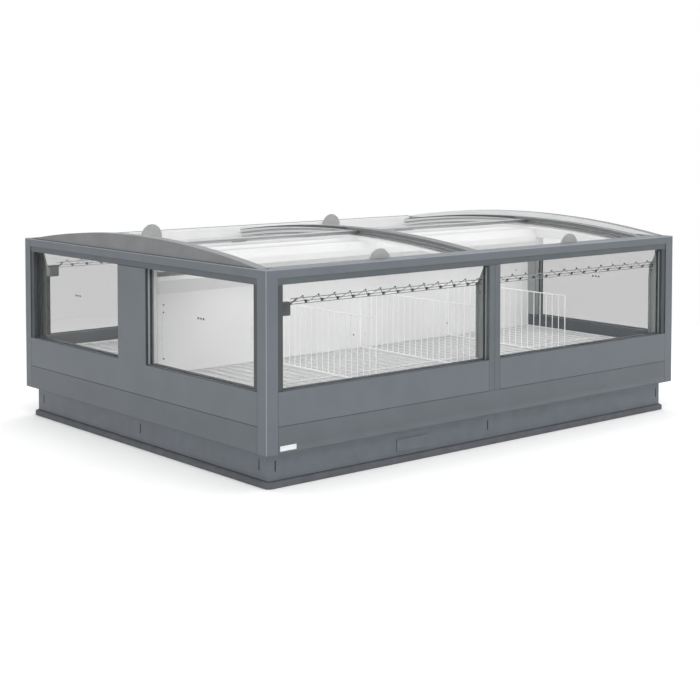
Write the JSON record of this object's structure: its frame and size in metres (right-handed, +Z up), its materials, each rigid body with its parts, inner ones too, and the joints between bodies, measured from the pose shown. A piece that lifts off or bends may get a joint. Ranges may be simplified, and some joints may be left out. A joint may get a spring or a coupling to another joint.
{
  "type": "chest freezer",
  "caption": "Double-sided supermarket island chest freezer with glazed sides, a central air duct and four curved sliding glass lids.",
  "frame": {"origin": "middle of the footprint on the floor", "axes": "+X along the length, +Y from the front to the rear, +Z up"},
  "size_m": [2.6, 2.01, 0.968],
  "materials": {
    "panel_paint": "satin",
    "plinth_paint": "satin",
    "cap_paint": "satin",
    "track_plastic": "matte",
    "white_paint": "satin",
    "tub_liner": "satin",
    "white_wire": "gloss",
    "rubber_dark": "matte",
    "dark_plastic": "matte",
    "clear_glass": "gloss",
    "galvanised": "satin",
    "lid_aluminium": "satin"
  },
  "bodies": {
    "cabinet": {"bumper_ring": "rubber_dark", "plinth_ring": "plinth_paint", "base_frame": "galvanised", "insulated_tub": "tub_liner", "skirt_front": "panel_paint", "top_rail_front": "panel_paint", "skirt_rear": "panel_paint", "top_rail_rear": "panel_paint", "skirt_left": "panel_paint", "top_rail_left": "panel_paint", "skirt_right": "panel_paint", "top_rail_right": "panel_paint", "mullion_front": "panel_paint", "belt_front_left": "panel_paint", "corner_post_front_left": "panel_paint", "window_front_left": "clear_glass", "end_window_front_left": "clear_glass", "floor_grille_front_left": "white_wire", "wire_guard_front_left": "white_wire", "belt_front_right": "panel_paint", "corner_post_front_right": "panel_paint", "window_front_right": "clear_glass", "end_window_front_right": "clear_glass", "floor_grille_front_right": "white_wire", "wire_guard_front_right": "white_wire", "mullion_rear": "panel_paint", "belt_rear_left": "panel_paint", "corner_post_rear_left": "panel_paint", "window_rear_left": "clear_glass", "end_window_rear_left": "clear_glass", "floor_grille_rear_left": "white_wire", "wire_guard_rear_left": "white_wire", "belt_rear_right": "panel_paint", "corner_post_rear_right": "panel_paint", "window_rear_right": "clear_glass", "end_window_rear_right": "clear_glass", "floor_grille_rear_right": "white_wire", "wire_guard_rear_right": "white_wire", "end_panel_left": "panel_paint", "end_arch_left": "cap_paint", "end_panel_right": "panel_paint", "end_arch_right": "cap_paint", "mid_arch": "track_plastic", "duct_wall": "white_paint", "duct_cover": "white_paint", "evaporator": "galvanised"},
    "lid_front_left": {"lid_glass_front_left": "clear_glass", "lid_frame_front_left": "lid_aluminium"},
    "lid_front_right": {"lid_glass_front_right": "clear_glass", "lid_frame_front_right": "lid_aluminium"},
    "lid_rear_left": {"lid_glass_rear_left": "clear_glass", "lid_frame_rear_left": "lid_aluminium"},
    "lid_rear_right": {"lid_glass_rear_right": "clear_glass", "lid_frame_rear_right": "lid_aluminium"},
    "divider_left_body": {"divider_left": "white_wire"},
    "divider_middle_body": {"divider_middle": "white_wire"},
    "divider_right_body": {"divider_right": "white_wire"},
    "fan_left": {"fan_rotor_left": "dark_plastic"},
    "fan_right": {"fan_rotor_right": "dark_plastic"},
    "hatch": {"service_hatch": "plinth_paint"}
  },
  "joints": [
    {"name": "lid_front_left_slide", "type": "hinge", "parent": "cabinet", "child": "lid_front_left", "pos_m": [0, 0, -5.457], "axis": [1, 0, 0], "range_deg": [-7.7, 0]},
    {"name": "lid_front_right_slide", "type": "hinge", "parent": "cabinet", "child": "lid_front_right", "pos_m": [0, 0, -5.457], "axis": [1, 0, 0], "range_deg": [-7.7, 0]},
    {"name": "lid_rear_left_slide", "type": "hinge", "parent": "cabinet", "child": "lid_rear_left", "pos_m": [0, 0, -5.457], "axis": [1, 0, 0], "range_deg": [0, 7.2]},
    {"name": "lid_rear_right_slide", "type": "hinge", "parent": "cabinet", "child": "lid_rear_right", "pos_m": [0, 0, -5.457], "axis": [1, 0, 0], "range_deg": [0, 7.2]},
    {"name": "divider_left_lift", "type": "slide", "parent": "cabinet", "child": "divider_left_body", "axis": [0, 0, 1], "range_m": [0, 0.065]},
    {"name": "divider_middle_lift", "type": "slide", "parent": "cabinet", "child": "divider_middle_body", "axis": [0, 0, 1], "range_m": [0, 0.065]},
    {"name": "divider_right_lift", "type": "slide", "parent": "cabinet", "child": "divider_right_body", "axis": [0, 0, 1], "range_m": [0, 0.065]},
    {"name": "hatch_pull", "type": "slide", "parent": "cabinet", "child": "hatch", "axis": [0, -1, 0], "range_m": [0, 0.05]},
    {"name": "fan_left_spin", "type": "hinge", "parent": "cabinet", "child": "fan_left", "pos_m": [-0.56, 0, 0.36], "axis": [0, 0, 1], "continuous": true},
    {"name": "fan_right_spin", "type": "hinge", "parent": "cabinet", "child": "fan_right", "pos_m": [0.56, 0, 0.36], "axis": [0, 0, 1], "continuous": true}
  ]
}
